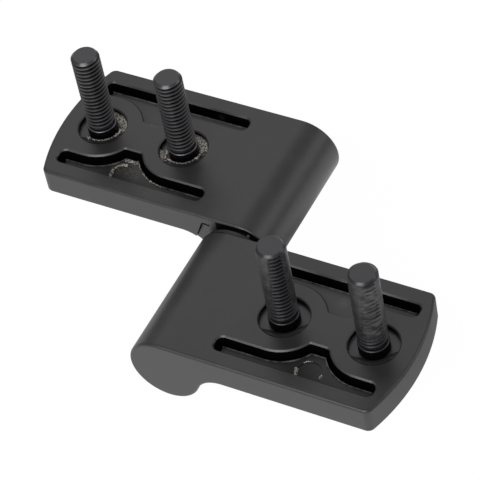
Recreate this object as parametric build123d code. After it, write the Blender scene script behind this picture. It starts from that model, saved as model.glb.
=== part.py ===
from build123d import *
import math
import os

# Friction hinge with two die-cast leaves side by side on one axis.
# Row frame: the origin lies midway between the frame leaf's two studs, on the mounting face.
# +X runs from the frame leaf to the door leaf, +Y along the hinge axis, +Z out along the studs.
# Each leaf is drawn in its own frame first: X is the distance from the hinge axis,
# Y runs across the leaf from its middle line, and Z = 0 is the mounting face.

# Leaf casting
leaf_width = 30.8           # along the hinge axis
leaf_reach = 47.5           # hinge axis to the middle of the bowed free end
end_bow_radius = 42.0       # free end, seen from above
end_corner_radius = 1.6     # free end corners, seen from above
plate_thickness = 6.25
barrel_diameter = 15.0      # its top is level with the mounting face
web_radius = 6.5            # hollow between the barrel and the plate's display side
edge_radius = 0.6           # all outer edges
parting_gap = 1.8           # between the two leaves

# Studs and the wells that they stand in
stud_end_margin = 8.75      # free end to the farther stud
stud_spacing = 19.05
thread_diameter = 5.9
stud_height = 20.6          # above the mounting face
tip_chamfer = 0.5
neck_diameter = 5.0
neck_length = 0.45
collar_diameter = 6.3
collar_height = 1.25        # above the mounting face
collar_rounding = 0.3
root_diameter = 7.4         # serrated root, cast into the leaf
root_cover = 0.4            # casting over the root, below the well's floor
root_depth = 3.2
root_teeth = 8
serration_depth = 0.3
root_groove_diameter = 5.2
root_groove_width = 1.0
well_diameter = 10.1
well_depth = 1.2
well_chamfer = 0.25

# Relief of the mounting face: a front and a rear recess, parted by the pads
recess_inner_margin = 9.8   # nearer stud to the recesses' nearer ends
recess_outer_margin = 4.8   # farther stud to the recesses' farther ends
recess_half_width = 11.85   # middle line to the recesses' outer walls
recess_depth = 2.1
recess_corner_radius = 1.3
pad_radius = 8.55           # raised pad round each stud
pad_waist = 8.2             # raised strip between the two pads
pad_corner_radius = 0.7     # where the strip meets the round pads
groove_width = 0.95         # wavy groove round the pads, straight groove at the rear wall
groove_depth = 4.2          # below the mounting face
recess_chamfer = 0.3        # upper edges of the recesses
groove_chamfer = 0.2        # upper edges of the grooves
ejector_radius = 2.5
ejector_depth = 0.15        # below the recess
ejector_offset = 9.2        # from the middle line

# Clearance pocket in the side that faces the other leaf
pocket_depth = 0.5
pocket_top = 2.4            # below the mounting face
pocket_start = 8.0          # hinge axis to the pocket's upper corner
pocket_slope = 22.0         # degrees from upright
pocket_barrel_edge = 0.2    # rim of the barrel's end that stays proud of the pocket

# Shaft, pressed into the frame leaf
shaft_diameter = 6.35
press_length = 24.0
knurl_diameter = 6.65
knurl_teeth = 18
knurl_depth = 0.25
shaft_chamfer = 0.5
head_diameter = 9.6
head_length = 1.6

# Friction stack in the door leaf's barrel
chamber_diameter = 11.2
clip_count = 12
clip_thickness = 1.75
clip_wall = 1.75
clip_tail_width = 2.3
clip_slit = 0.8
clip_slit_angle = 27.0      # from the middle of the tail
keyway_angle = 30.0         # above the plane of the plate, seen from the barrel
keyway_reach = 6.9
keyway_clearance = 0.1      # each side of the clips' tails
running_clearance = 0.03    # radial, on the shaft
axial_play = 0.05
end_clearance = 0.5         # beyond the shaft's head
bush_length = 3.4
bush_flange_diameter = 14.0
bush_flange = 0.9
washer_diameter = 11.6
washer_clearance = 0.1      # radial, on the shaft
stack_washer_thickness = 0.8

# Worked out from the sizes above
barrel_radius = barrel_diameter / 2
shaft_radius = shaft_diameter / 2
half_width = leaf_width / 2
parting_face = parting_gap / 2
leaf_middle = parting_face + half_width
far_stud_reach = leaf_reach - stud_end_margin
stud_reach = far_stud_reach - stud_spacing
pattern_reach = far_stud_reach - stud_spacing / 2
recess_inner_end = stud_reach - recess_inner_margin
recess_outer_end = far_stud_reach + recess_outer_margin
pad_half_waist = pad_waist / 2
root_top = well_depth + root_cover
washer_thickness = parting_gap - bush_flange - axial_play
clip_pitch = clip_thickness + axial_play
clip_bore = shaft_radius + running_clearance
stack_start = parting_face + bush_length + axial_play
stack_end = stack_start + clip_count * clip_pitch
head_start = stack_end + stack_washer_thickness + axial_play
chamber_depth = head_start + head_length + end_clearance - parting_face
hinge_to_row = Pos(pattern_reach, -leaf_middle, 0)


def save(name, solid):
    """Write one piece, moved from the hinge's frame to the row frame."""
    export_step(hinge_to_row * solid, f"parts/{name}.step")


def along_axis(sketch, start, length):
    """Extrude a sketch drawn about the hinge axis, from one station along Y to the next."""
    plane = Plane(origin=(0, start, -barrel_radius), x_dir=(1, 0, 0), z_dir=(0, -1, 0))
    return extrude(plane * sketch, amount=-length)


def serrated(diameter, depth, teeth):
    """Star outline of a straight knurl."""
    corners = []
    for tooth in range(teeth):
        for part, radius in ((0, diameter / 2), (0.5, diameter / 2 - depth)):
            angle = 2 * math.pi * (tooth + part) / teeth
            corners.append((radius * math.cos(angle), radius * math.sin(angle)))
    return make_face(Polyline(*corners, close=True))


def box_between(low, high):
    """Rectangle from its low corner to its high corner."""
    centre = Pos((low[0] + high[0]) / 2, (low[1] + high[1]) / 2)
    return centre * Rectangle(high[0] - low[0], high[1] - low[1])


def leaf_side_profile():
    """Barrel and plate seen along the hinge axis, with the hollow web between them."""
    barrel = Pos(0, -barrel_radius) * Circle(barrel_radius)
    plate = box_between((0, -plate_thickness), (leaf_reach, 0))
    outline = barrel + plate
    meeting = outline.vertices().sort_by_distance((barrel_radius, -plate_thickness, 0))[0]
    return fillet(meeting, web_radius)


def leaf_plan():
    """Leaf seen from above, with its bowed free end."""
    sag = end_bow_radius - math.sqrt(end_bow_radius**2 - half_width**2)
    corner = leaf_reach - sag
    back = -barrel_radius
    rear_edge = Line((back, half_width), (corner, half_width))
    bow = ThreePointArc((corner, half_width), (leaf_reach, 0), (corner, -half_width))
    front_edge = Line((corner, -half_width), (back, -half_width))
    closing = Line((back, -half_width), (back, half_width))
    plan = make_face([rear_edge, bow, front_edge, closing])
    free_corners = plan.vertices().group_by(Axis.X)[-1]
    return fillet(free_corners, end_corner_radius)


def pads(extra=0.0):
    """Raised outline round both studs: two round pads, a waist and a straight strip each way."""
    radius = pad_radius + extra
    waist = pad_half_waist + extra
    shape = box_between((stud_reach, -waist), (far_stud_reach, waist))
    shape += Pos(stud_reach, 0) * Circle(radius)
    shape += Pos(far_stud_reach, 0) * Circle(radius)
    shape += box_between((recess_inner_end, -radius), (stud_reach, radius))
    shape += box_between((far_stud_reach, -radius), (recess_outer_end, radius))
    corners = shape.vertices().filter_by(lambda corner: abs(abs(corner.Y) - waist) < 1e-4)
    return fillet(corners, pad_corner_radius)


def recess(side):
    """Area between the pads and one outer wall, with rounded corners at both ends."""
    near = min(0, side * recess_half_width)
    far = max(0, side * recess_half_width)
    area = box_between((recess_inner_end, near), (recess_outer_end, far)) - pads()
    ends = area.vertices().group_by(Axis.X)
    return fillet(ends[0] + ends[-1], recess_corner_radius)


def front_groove():
    """Wavy groove along the pads' front outline, closed round both ends."""
    low = (recess_inner_end + groove_width, -recess_half_width)
    high = (recess_outer_end - groove_width, 0)
    return recess(-1) - (box_between(low, high) - pads(groove_width))


def rear_groove():
    """Straight groove along the rear wall, closed round both ends."""
    low = (recess_inner_end + groove_width, 0)
    high = (recess_outer_end - groove_width, recess_half_width - groove_width)
    return recess(1) - box_between(low, high)


def sink(sketch, depth, top=0.0):
    """Cutter that goes down from a height to a depth below the mounting face."""
    return extrude(Pos(0, 0, -depth) * sketch, amount=depth + top)


def parting_pocket(side):
    """Clearance cut beside the barrel, open at the display side."""
    foot = barrel_diameter - pocket_top
    run = foot * math.tan(math.radians(pocket_slope))
    outline = make_face(
        Polyline(
            (0, -pocket_top),
            (pocket_start, -pocket_top),
            (pocket_start + run, -barrel_diameter),
            (0, -barrel_diameter),
            close=True,
        )
    )
    outline -= Pos(0, -barrel_radius) * Circle(barrel_radius - pocket_barrel_edge)
    plane = Plane(origin=(0, side * half_width, 0), x_dir=(1, 0, 0), z_dir=(0, -1, 0))
    return extrude(plane * outline, amount=pocket_depth, both=True)


def stud():
    """Cast-in stud on the Z axis, drawn with a plain cylinder where its thread is."""
    profile = make_face(
        Polyline(
            (0, -root_top),
            (collar_diameter / 2, -root_top),
            (collar_diameter / 2, collar_height),
            (neck_diameter / 2, collar_height),
            (neck_diameter / 2, collar_height + neck_length),
            (thread_diameter / 2, collar_height + neck_length),
            (thread_diameter / 2, stud_height - tip_chamfer),
            (thread_diameter / 2 - tip_chamfer, stud_height),
            (0, stud_height),
            close=True,
        )
    )
    collar_corner = profile.vertices().sort_by_distance((collar_diameter / 2, collar_height, 0))[0]
    profile = fillet(collar_corner, collar_rounding)
    shank = revolve(Plane.XZ * profile, Axis.Z)
    teeth = serrated(root_diameter, serration_depth, root_teeth)
    root = sink(teeth, root_top + root_depth, -root_top)
    groove = Cylinder(root_diameter, root_groove_width)
    groove -= Cylinder(root_groove_diameter / 2, root_groove_width)
    root -= Pos(0, 0, -root_top - root_depth / 2) * groove
    return shank + root


def rims(body, level, outlines):
    """Edges of the body that run along drawn outlines at one height."""
    wires = [Pos(0, 0, level) * wire for outline in outlines for wire in outline.wires()]
    flat = body.edges().filter_by_position(Axis.Z, level, level)
    return flat.filter_by(lambda edge: min(wire.distance(Vertex(edge @ 0.5)) for wire in wires) < 1e-4)


def cast_leaf(side):
    """One leaf without its bore. The side, +1 or -1 along Y, faces the other leaf."""
    body = extrude(Plane.XZ * leaf_side_profile(), amount=half_width, both=True)
    body &= sink(leaf_plan(), barrel_diameter)
    outer = body.edges().filter_by_position(Axis.Y, half_width, half_width)
    outer += body.edges().filter_by_position(Axis.Y, -half_width, -half_width)
    free_end = body.edges().filter_by_position(Axis.X, leaf_reach - barrel_radius, leaf_reach)
    outer += free_end.filter_by(lambda edge: abs(edge.bounding_box().size.Z) < 1e-6)
    body = fillet(list(set(outer)), edge_radius)
    body -= parting_pocket(side)
    for area in (recess(-1), recess(1)):
        body -= sink(area, recess_depth)
        body = chamfer(rims(body, 0, [area]), recess_chamfer)
    for groove in (front_groove(), rear_groove()):
        body -= sink(groove, groove_depth)
        body = chamfer(rims(body, -recess_depth, [groove]), groove_chamfer)
    mark = Pos(pattern_reach, -ejector_offset) * Circle(ejector_radius)
    body -= sink(mark, recess_depth + ejector_depth)
    wells = [Pos(reach, 0) * Circle(well_diameter / 2) for reach in (stud_reach, far_stud_reach)]
    for well in wells:
        body -= sink(well, well_depth)
    body = chamfer(rims(body, 0, wells), well_chamfer)
    for reach in (stud_reach, far_stud_reach):
        body -= Pos(reach, 0) * stud()
    return body


def shaft():
    """Steel shaft: knurled end in the frame leaf, headed end in the door leaf."""
    pressed = along_axis(serrated(knurl_diameter, knurl_depth, knurl_teeth), parting_face, press_length)
    journal = along_axis(Circle(shaft_radius), -head_start, head_start + parting_face)
    head = along_axis(Circle(head_diameter / 2), -head_start - head_length, head_length)
    whole = pressed + journal + head
    tips = whole.edges().group_by(Axis.Y)[0]
    return chamfer(tips, shaft_chamfer)


def clip_outline(flip):
    """Spring clip round the shaft, with one tail in the keyway and a slit beside it."""
    tail_end = keyway_reach - axial_play
    ring = Circle(clip_bore + clip_wall)
    ring += box_between((0, -clip_tail_width / 2), (tail_end, clip_tail_width / 2))
    ring -= Circle(clip_bore)
    slit = box_between((0, -clip_slit / 2), (clip_bore + 2 * clip_wall, clip_slit / 2))
    ring -= Rot(0, 0, flip * clip_slit_angle) * slit
    solid_ring = ring.faces().sort_by(SortBy.AREA)[-1]
    return Rot(0, 0, keyway_angle) * Sketch([solid_ring])


def keyway():
    width = clip_tail_width + 2 * keyway_clearance
    slot = box_between((0, -width / 2), (keyway_reach, width / 2))
    return Rot(0, 0, keyway_angle) * slot


def door_leaf():
    leaf = Pos(0, -leaf_middle, 0) * cast_leaf(1)
    chamber = Circle(chamber_diameter / 2) + keyway()
    return leaf - along_axis(chamber, -parting_face - chamber_depth, chamber_depth)


def frame_leaf(shaft_solid):
    leaf = Pos(0, leaf_middle, 0) * mirror(cast_leaf(-1), about=Plane.YZ)
    return leaf - shaft_solid


def mouth_bush():
    """Flanged plain bearing that closes the friction chamber."""
    sleeve = along_axis(Circle(chamber_diameter / 2), -parting_face - bush_length, bush_length)
    flange = along_axis(Circle(bush_flange_diameter / 2), -parting_face, bush_flange)
    bore = along_axis(Circle(clip_bore), -parting_face - bush_length, bush_length + bush_flange)
    return sleeve + flange - bore


def ring_washer(diameter, bore_radius, start, thickness):
    return along_axis(Circle(diameter / 2) - Circle(bore_radius), start, thickness)


shaft_solid = shaft()
save("hinge_shaft", shaft_solid)
save("frame_leaf", frame_leaf(shaft_solid))
save("door_leaf", door_leaf())
save("mouth_bush", mouth_bush())

washer_start = parting_face - washer_thickness
washer_bore = shaft_radius + washer_clearance
save("thrust_washer", ring_washer(washer_diameter, washer_bore, washer_start, washer_thickness))
stack_washer_start = -stack_end - stack_washer_thickness
save("stack_washer", ring_washer(head_diameter, washer_bore, stack_washer_start, stack_washer_thickness))

for number in range(clip_count):
    flip = 1 if number % 2 == 0 else -1
    station = -(stack_start + number * clip_pitch + clip_thickness)
    save(f"friction_clip_{number + 1:02d}", along_axis(clip_outline(flip), station, clip_thickness))

for name, reach in (("inner", stud_reach), ("outer", far_stud_reach)):
    save(f"frame_stud_{name}", Pos(-reach, leaf_middle, 0) * stud())
    save(f"door_stud_{name}", Pos(reach, -leaf_middle, 0) * stud())
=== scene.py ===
"""Dresses the cast friction hinge: cut threads, coating film, casting flash, finishes and a white studio.

Everything is in metres in the hinge's own frame: +X from the frame leaf to the door leaf,
+Y along the hinge axis, +Z out of the mounting faces along the studs.
"""

import math

import bmesh
import bpy
from bpy.props import FloatProperty, FloatVectorProperty, IntProperty, PointerProperty
from mathutils import Matrix, Vector, noise


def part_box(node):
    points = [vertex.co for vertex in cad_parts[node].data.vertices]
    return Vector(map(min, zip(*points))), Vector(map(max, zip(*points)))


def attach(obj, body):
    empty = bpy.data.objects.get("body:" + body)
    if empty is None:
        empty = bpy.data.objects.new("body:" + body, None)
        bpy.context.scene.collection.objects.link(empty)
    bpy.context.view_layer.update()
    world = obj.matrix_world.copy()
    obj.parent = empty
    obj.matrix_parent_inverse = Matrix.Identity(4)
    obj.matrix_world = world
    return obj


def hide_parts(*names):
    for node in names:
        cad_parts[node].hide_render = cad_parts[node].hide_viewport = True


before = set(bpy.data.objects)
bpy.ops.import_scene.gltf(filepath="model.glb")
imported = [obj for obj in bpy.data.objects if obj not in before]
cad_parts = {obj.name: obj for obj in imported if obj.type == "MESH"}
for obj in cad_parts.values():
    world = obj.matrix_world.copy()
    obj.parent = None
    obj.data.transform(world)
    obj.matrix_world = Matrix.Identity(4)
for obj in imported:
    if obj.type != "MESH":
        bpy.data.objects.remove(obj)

bl_info = {
    "name": "Friction Hinge Dressing",
    "version": (1, 0, 0),
    "blender": (4, 5, 0),
    "location": "3D View > Sidebar > Hinge",
    "description": "Threads, coating, casting flash and studio for a cast friction hinge",
    "category": "Object",
}

MM = 0.001
MERGE = 0.001 * MM              # points closer than this are one
EMBED = 0.1 * MM                # how far an added piece is let into the casting
FRAME_STUDS = ("frame_stud_outer", "frame_stud_inner")
DOOR_STUDS = ("door_stud_inner", "door_stud_outer")
CLIPS = sorted(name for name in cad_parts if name.startswith("friction_clip"))

# Sizes of the cast leaves that the flash follows
ROOT_TOP = 1.6 * MM             # mounting face to the studs' serrated roots
WELL_DEPTH = 1.2 * MM
RECESS_DEPTH = 2.1 * MM
GROOVE_RADIUS = 9.5 * MM        # stud to the wavy groove's outer edge
HUMP_LINE = -5.05 * MM          # middle line to the groove's edge between the studs
GROOVE_OUTER_END = 3.85 * MM    # outer stud to the end of the grooves' inner edge
GROOVE_INNER_END = 8.85 * MM    # inner stud to the other end
REAR_LINE = 10.9 * MM           # middle line to the straight groove's edge
EJECTOR_OFFSET = 9.2 * MM       # middle line to the ejector's mark
EJECTOR_RADIUS = 2.5 * MM
STUD_OFFSET = 9.525 * MM        # leaf's middle to each of its studs
FRONT_HEADING = -62             # heading from a stud to its well's sloping front, in degrees
LEAF_MIDDLES = (Vector((0, 0, 0)), Vector((58.45, -32.6, 0)) * MM)

# Middle, from a leaf's middle, and half size of the box that holds the recesses
RECESS_BOX = (Vector((0, 0, -2.18)) * MM, Vector((17.7, 13.7, 2.23)) * MM)
FRONT_FLOOR_BOX = (Vector((0, -9.2, -2.1)) * MM, Vector((17.7, 4.8, 0.3)) * MM)
RECESS_SHIFT = 2.5 * MM         # recesses reach further towards the barrel
# Middle and half size of the boxes round the parting gap, where the coat gets painted shade
PARTING_BOXES = (
    (Vector((30.6, -15.75, -1.75)) * MM, Vector((5.9, 0.55, 1.3)) * MM),
    (Vector((30.6, -17.0, -1.6)) * MM, Vector((5.9, 0.72, 1.53)) * MM),
)

# Dark line of painted shade along the step round the parting pocket on the frame leaf's front face
POCKET_SHADE_LINE = (
    (20.15, -15.40, -5.57),
    (21.48, -15.40, -2.17),
    (22.20, -15.40, -2.02),
    (23.25, -15.40, -2.28),
)

# Bright steel bead in the parting gap, on the end of the frame leaf's barrel, that stands in for a glint:
# a painted highlight
PARTING_GLINT = ((31.84, -15.50, -1.67), (32.32, -15.50, -1.91))

# Places and radii of the dusty and rubbed patches on the coat
DUST_PATCHES = (
    (Vector((0.7, -7.4, -2.1)) * MM, 3.4 * MM),
    (Vector((3.0, -8.6, -2.1)) * MM, 2.2 * MM),
    (Vector((-2.2, -7.6, -2.1)) * MM, 1.8 * MM),
    (Vector((12.1, 11.7, -2.1)) * MM, 1.2 * MM),
    (Vector((0.6, 4.3, 0)) * MM, 1.6 * MM),
    (Vector((57.2, -24.1, -2.1)) * MM, 1.5 * MM),
    (Vector((59.2, -27.8, -2.1)) * MM, 1.4 * MM),
)

# Bare flash, with headings in degrees and sizes as shares of the usual bead
WELL_ARCS = (((60, 48),), ((66, 46), (226, 32)))    # outer and inner well: middle and half width
RIM_ARCS = ((-118, 5), (-140, 10))                  # outer and inner well: start and end
RIM_DROP = 0.5 * MM             # mounting face to that line
RIM_OUT = 0.35 * MM             # slope's foot to that line
RIM_STEP = 3                    # degrees between places on the arcs round the studs
HUMP_DROP = 0.1 * MM            # groove's edge to the recess's line of flash
HUMP_INSET = 0.25 * MM          # the same once more, for the part between the corners
EJECTOR_ARCS = ((95, 180), (175, 215))              # frame leaf: line on the mark's edge, and its foot
EJECTOR_OUT = (0.2 * MM, 0.1 * MM)                  # ejector's edge to each of them
FLECK_ARCS = ((178, 236, 2.1), (100, 140, 0.7), (-22, 2, 1.5))      # door leaf: start, end and size
MARK_STEP = 5                   # degrees between places round an ejector's mark
RING_RISE = (0.4, 0.7, 1.0)     # height of the wells' flash inside, midway and outside, as shares
RING_STEPS = 96                 # faces round a ring

# Sloping fronts of the wells: out from the slope's foot and down from the face, in millimetres
SLOPE_STEPS = ((0, 0.6), (0.5, 0.3), (1.0, 0.1))
SLOPE_EDGE = 0.015 * MM         # mounting face to the slope's outer edge

# How the painted shade falls in the hollows and on the studs' threads, and the painted highlight on the
# chamfers. A face's level is 1 where it lies flat and 0 where it is upright.
WALL_LEVEL = (0.65, 0.45)       # levels at which a wall's shade starts and is full
CHAMFER_LEVEL = (0.97, 0.9)     # the same for the lighter tone of a chamfer
GROOVE_SHADE = (0.25 * MM, 0.4 * MM)                # depths below a recess's floor
FRONT_FLOOR_SHADE = 0.35        # share of the shade on the front of a recess's floor
BOX_EDGE = 0.98                 # share of a box up to which its mask is full
CREST_SHADE = 0.04 * MM         # inside the thread's crests, where the shade starts
FULL_SHADE = 0.8                # share of the thread's depth at which it is full
TIP_SHADE = (20.3 * MM, 20.1 * MM)                  # heights between which it comes in
COLLAR_SHADE = (0.1 * MM, 0.25 * MM)                # below the collar's top

# Grain of the finishes
BUMP_DISTANCE = 0.03 * MM
MOTTLE_RAMP = (0.35, 0.65)      # where mottling turns from the first colour to the second
FLECK_RAMP = (0.44, 0.58)       # the same for flecks of coat on bare metal

# Surroundings that the finishes mirror
FLOOR_FORWARD = (-0.1, -0.97, 0)                    # the floor grows bright in this direction
FLOOR_SPAN = (-30 * MM, 34 * MM)
FLOOR_BEHIND_SPAN = (10 * MM, 28 * MM)              # and again along Y, behind the hinge
HORIZON_SPAN = (0.08, 0.4)      # rise over which the surroundings reach full strength

# Each lamp's place from the point that the camera looks at, its side and its power setting
LAMPS = {
    "key_lamp": (Vector((-0.25, 0.34, 0.45)), 0.3, "key_power"),
    "front_lamp": (Vector((0.013, -0.48, 0.436)), 0.45, "front_power"),
    "side_lamp": (Vector((0.62, 0.45, 0.42)), 0.4, "side_power"),
}


def length(name, description, default):
    return FloatProperty(name=name, description=description, default=default, unit="LENGTH", precision=6)


def angle(name, description, degrees):
    turned = math.radians(degrees)
    return FloatProperty(name=name, description=description, default=turned, unit="ROTATION")


def colour(name, description, default):
    return FloatVectorProperty(
        name=name, description=description, default=default, size=3, subtype="COLOR", min=0, max=1
    )


def amount(name, description, default):
    return FloatProperty(name=name, description=description, default=default, min=0)


class ThreadSettings(bpy.types.PropertyGroup):
    """Sizes of the studs and their M6 threads."""

    pitch: length("Pitch", "Rise of the thread in one turn", 1.0 * MM)
    depth: length("Depth", "Depth of the thread groove", 0.58 * MM)
    crest: length("Crest", "Flat left between two grooves", 0.14 * MM)
    root: length("Root", "Flat at the bottom of the groove", 0.2 * MM)
    diameter: length("Diameter", "Diameter over the crests", 5.9 * MM)
    thread_start: length("Thread start", "Height of the first thread above the face", 1.7 * MM)
    tip: length("Tip chamfer", "Chamfer at the stud's end, down to the groove", 0.59 * MM)
    neck: length("Neck", "Diameter of the neck below the thread", 5.0 * MM)
    collar: length("Collar", "Diameter of the collar", 6.3 * MM)
    collar_top: length("Collar top", "Height of the collar above the face", 1.25 * MM)
    collar_rounding: length("Collar rounding", "Rounding of the collar's upper edge", 0.3 * MM)
    steps: IntProperty(name="Steps", description="Faces in one turn", default=40, min=12)


class FilmSettings(bpy.types.PropertyGroup):
    """The coating film that half fills the door studs' threads."""

    radius: length("Film radius", "Radius of the film, just over the thread's crests", 2.98 * MM)
    lump: length("Lump size", "Size of the film's lumps", 0.8 * MM)
    lump_height: length("Lump height", "Height of the film's lumps", 0.1 * MM)
    bare_depth: length("Bare depth", "How far the film sinks where the thread shows", 0.55 * MM)
    strip_top: angle("Strip, top", "Heading of the bare strip's middle at the studs' tops", -43)
    strip_foot: angle("Strip, foot", "Heading of the bare strip's middle at the studs' feet", -54)
    half_top: angle("Half strip, top", "Half of the bare strip's width at the top", 24)
    half_foot: angle("Half strip, foot", "Half of the bare strip's width at the foot", 46)
    foot_height: length("Bare foot", "Height up to which the thread shows all round", 3.2 * MM)
    foot_overlap: length("Foot overlap", "How far the film reaches below the thread", 0.1 * MM)
    tip_margin: length("Tip margin", "How far the film ends below the stud's tip", 0.45 * MM)
    core: length("Core", "Inner radius of the film, inside the stud", 0.3 * MM)
    fringe: amount("Fringe", "Softness of the bare strip's edges, as a share of its width", 0.2)
    blotch_fade: amount("Blotch fade", "Change of noise over which a blotch fades in", 0.35)
    blotch: length("Blotch", "Size of the bare blotches on the outer stud", 1.7 * MM)
    cover: amount("Cover", "Share of the bare strip that stays covered on the outer stud", 0.6)
    blotch_depth: amount("Blotch depth", "How far the blotches sink, as a share of the bare depth", 0.45)
    steps: IntProperty(name="Steps", description="Faces round the film", default=64, min=12)
    rows: IntProperty(name="Rows", description="Faces up the film", default=72, min=8)


class FlashSettings(bpy.types.PropertyGroup):
    """Bare casting flash of the frame leaf and flecks on the door leaf."""

    ring_inner: length("Ring, inside", "Inner radius of the flash on the wells' floors", 3.3 * MM)
    ring_outer: length("Ring, outside", "Outer radius of that flash", 5.0 * MM)
    ring_height: length("Ring height", "Height of that flash above the floor", 0.35 * MM)
    burr: length("Burr", "Radius of the burr in the parting gap", 0.3 * MM)
    slope_inner: length("Slope, inside", "Inner radius of the wells' sloping front", 3.55 * MM)
    slope_outer: length("Slope, outside", "Outer radius of that slope", 5.06 * MM)
    slope_half: angle("Half slope", "Half of the slope's arc", 74)
    bead: length("Bead", "Radius of the ragged lines of flash", 0.19 * MM)
    ragged: length("Ragged", "Size of the flash's crumbs", 0.22 * MM)
    ragged_height: length("Ragged height", "Height of the flash's crumbs", 0.3 * MM)


class CoatSettings(bpy.types.PropertyGroup):
    """Colours and grain of the finishes."""

    coat: colour("Powder coat", "Colour of the black powder coat", (0.012, 0.012, 0.0135))
    coat_worn: colour("Worn coat", "Colour of the coat where it is rubbed", (0.021, 0.0205, 0.021))
    dust: colour("Dust", "Colour of the casting dust left on the coat", (0.15, 0.135, 0.11))
    coat_ior: amount("Coat gloss", "Refractive index of the powder coat", 1.6)
    bead: length("Edge bead", "Radius of the coating gathered on the grooves' edges", 0.17 * MM)
    # Lighter than the coat, so that the edge beads paint a highlight along the grooves
    bead_tone: colour("Bead", "Colour of that coating", (0.11, 0.108, 0.105))
    # Painted highlight: a lighter colour on the recesses' chamfered edges
    edge: colour("Edges", "Colour of the coat on the recesses' chamfered edges", (0.028, 0.0275, 0.028))
    # Painted shade: radius of the dark line along the parting pocket's step
    seam: length("Seam", "Radius of the dark seam round the parting pocket", 0.13 * MM)
    # Painted shade: near-black for the grooves, the parting gap, the thread roots, below the studs'
    # collars and the pocket's shade line
    shaded: colour("Shaded coat", "Colour of the coat in grooves and gap", (0.0015, 0.0015, 0.0015))
    gloss: amount("Coat's shine", "Gloss level of the powder coat", 0.5)
    edge_gloss: amount("Edges' shine", "Gloss level of the chamfered edges", 0.55)
    shaded_gloss: amount("Shaded shine", "Gloss level in the hollows", 0.04)
    grain: length("Grain", "Size of the coat's fine grain", 0.22 * MM)
    oxide: colour("Black oxide", "Colour of the blackened studs", (0.012, 0.0125, 0.017))
    oxide_ior: amount("Oxide gloss", "Refractive index of the black oxide", 1.7)
    oxide_gloss: amount("Oxide's shine", "Gloss level of the black oxide", 0.42)
    frame_crests: amount("Frame crests' shine", "Gloss level of the frame studs' crests", 0.8)
    door_crests: amount("Door crests' shine", "Gloss level of the door studs' crests", 0.32)
    film: colour("Film", "Colour of the coating film on the door studs", (0.026, 0.026, 0.0275))
    zinc: colour("Bare zinc", "Colour of the bare casting flash", (0.5, 0.47, 0.41))
    # Near-white colour of the bead in the parting gap: a painted highlight
    burr: colour("Burr", "Colour of the bright burr", (0.9, 0.9, 0.88))
    steel: colour("Steel", "Colour of the ground steel", (0.5, 0.5, 0.51))
    spring: colour("Spring steel", "Colour of the oiled clips", (0.24, 0.23, 0.22))
    plastic: colour("Bush", "Colour of the plastic bush", (0.012, 0.012, 0.012))


class StageSettings(bpy.types.PropertyGroup):
    """Floor, lamps and camera."""

    floor_drop: length("Floor drop", "Floor below the mounting faces", 37 * MM)
    floor_size: length("Floor size", "Side of the square floor", 6.0)
    floor_tone: colour("Floor", "Colour of the floor", (0.86, 0.86, 0.86))
    floor_glow: amount("Floor white", "Share of plain white that the camera sees on the floor", 0.92)
    floor_white: amount("White strength", "Brightness of that white, for a lit floor of 1", 1.04)
    world: amount("Surroundings", "Strength of the white surroundings on the object", 0.48)
    horizon: amount("Horizon", "Strength of the surroundings near the horizon", 0.16)
    key_power: amount("Key", "Watts of the lamp behind and above", 0.2)
    front_power: amount("Front", "Watts of the large lamp above the camera", 2.5)
    side_power: amount("Side", "Watts of the low lamp at the back right", 0.6)
    floor_near: amount("Floor, front", "Brightness of the mirrored floor at the front", 1.08)
    floor_far: amount("Floor, back", "Brightness of the mirrored floor close behind the hinge", 0.22)
    floor_behind: amount("Floor, far back", "Brightness of the mirrored floor farther behind", 1.15)
    lens: FloatProperty(
        name="Lens", description="Focal length on a 36 mm sensor", default=201.85, unit="CAMERA"
    )
    azimuth: angle("Azimuth", "Camera round the hinge", 36.19)
    elevation: angle("Elevation", "Camera above the mounting faces", 47.91)
    roll: angle("Roll", "Camera turned about its own line of sight", -12.17)
    distance: length("Distance", "Camera to the point it looks at", 536 * MM)
    aim: FloatVectorProperty(
        name="Aim", description="Point that the camera looks at", default=(0.02928, -0.01456, -0.005),
        size=3, subtype="XYZ", unit="LENGTH",
    )


class HingeSettings(bpy.types.PropertyGroup):
    """All of the hinge's dressing."""

    thread: PointerProperty(type=ThreadSettings)
    film: PointerProperty(type=FilmSettings)
    flash: PointerProperty(type=FlashSettings)
    coat: PointerProperty(type=CoatSettings)
    stage: PointerProperty(type=StageSettings)


# Mesh helpers


def deselect_all():
    if bpy.context.object and bpy.context.object.mode != "OBJECT":
        bpy.ops.object.mode_set(mode="OBJECT")
    bpy.ops.object.select_all(action="DESELECT")


def take(piece):
    """Make one object the active and only selected one."""
    deselect_all()
    piece.select_set(True)
    bpy.context.view_layer.objects.active = piece


def new_piece(name):
    piece = bpy.context.object
    piece.name = name
    piece.data.name = name
    return piece


def settle(piece):
    """Put the object's place and turn into its mesh."""
    take(piece)
    bpy.ops.object.transform_apply(location=True, rotation=True, scale=True)
    return piece


def apply_modifier(piece, kind, **settings):
    take(piece)
    modifier = piece.modifiers.new(kind.title(), kind)
    for key, value in settings.items():
        setattr(modifier, key, value)
    bpy.ops.object.modifier_apply(modifier=modifier.name)


def smooth(piece, degrees=60):
    take(piece)
    bpy.ops.object.shade_smooth_by_angle(angle=math.radians(degrees))


def pick(piece, test, kind="verts"):
    """In edit mode, select only what passes a test on its middle point."""
    mesh = bmesh.from_edit_mesh(piece.data)
    bpy.ops.mesh.select_all(action="DESELECT")
    bpy.context.tool_settings.mesh_select_mode = (kind == "verts", kind == "edges", kind == "faces")
    for element in getattr(mesh, kind):
        points = [element.co] if kind == "verts" else [v.co for v in element.verts]
        middle = sum(points, Vector()) / len(points)
        element.select_set(bool(test(middle, element)))
    mesh.select_flush_mode()
    bmesh.update_edit_mesh(piece.data)


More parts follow.
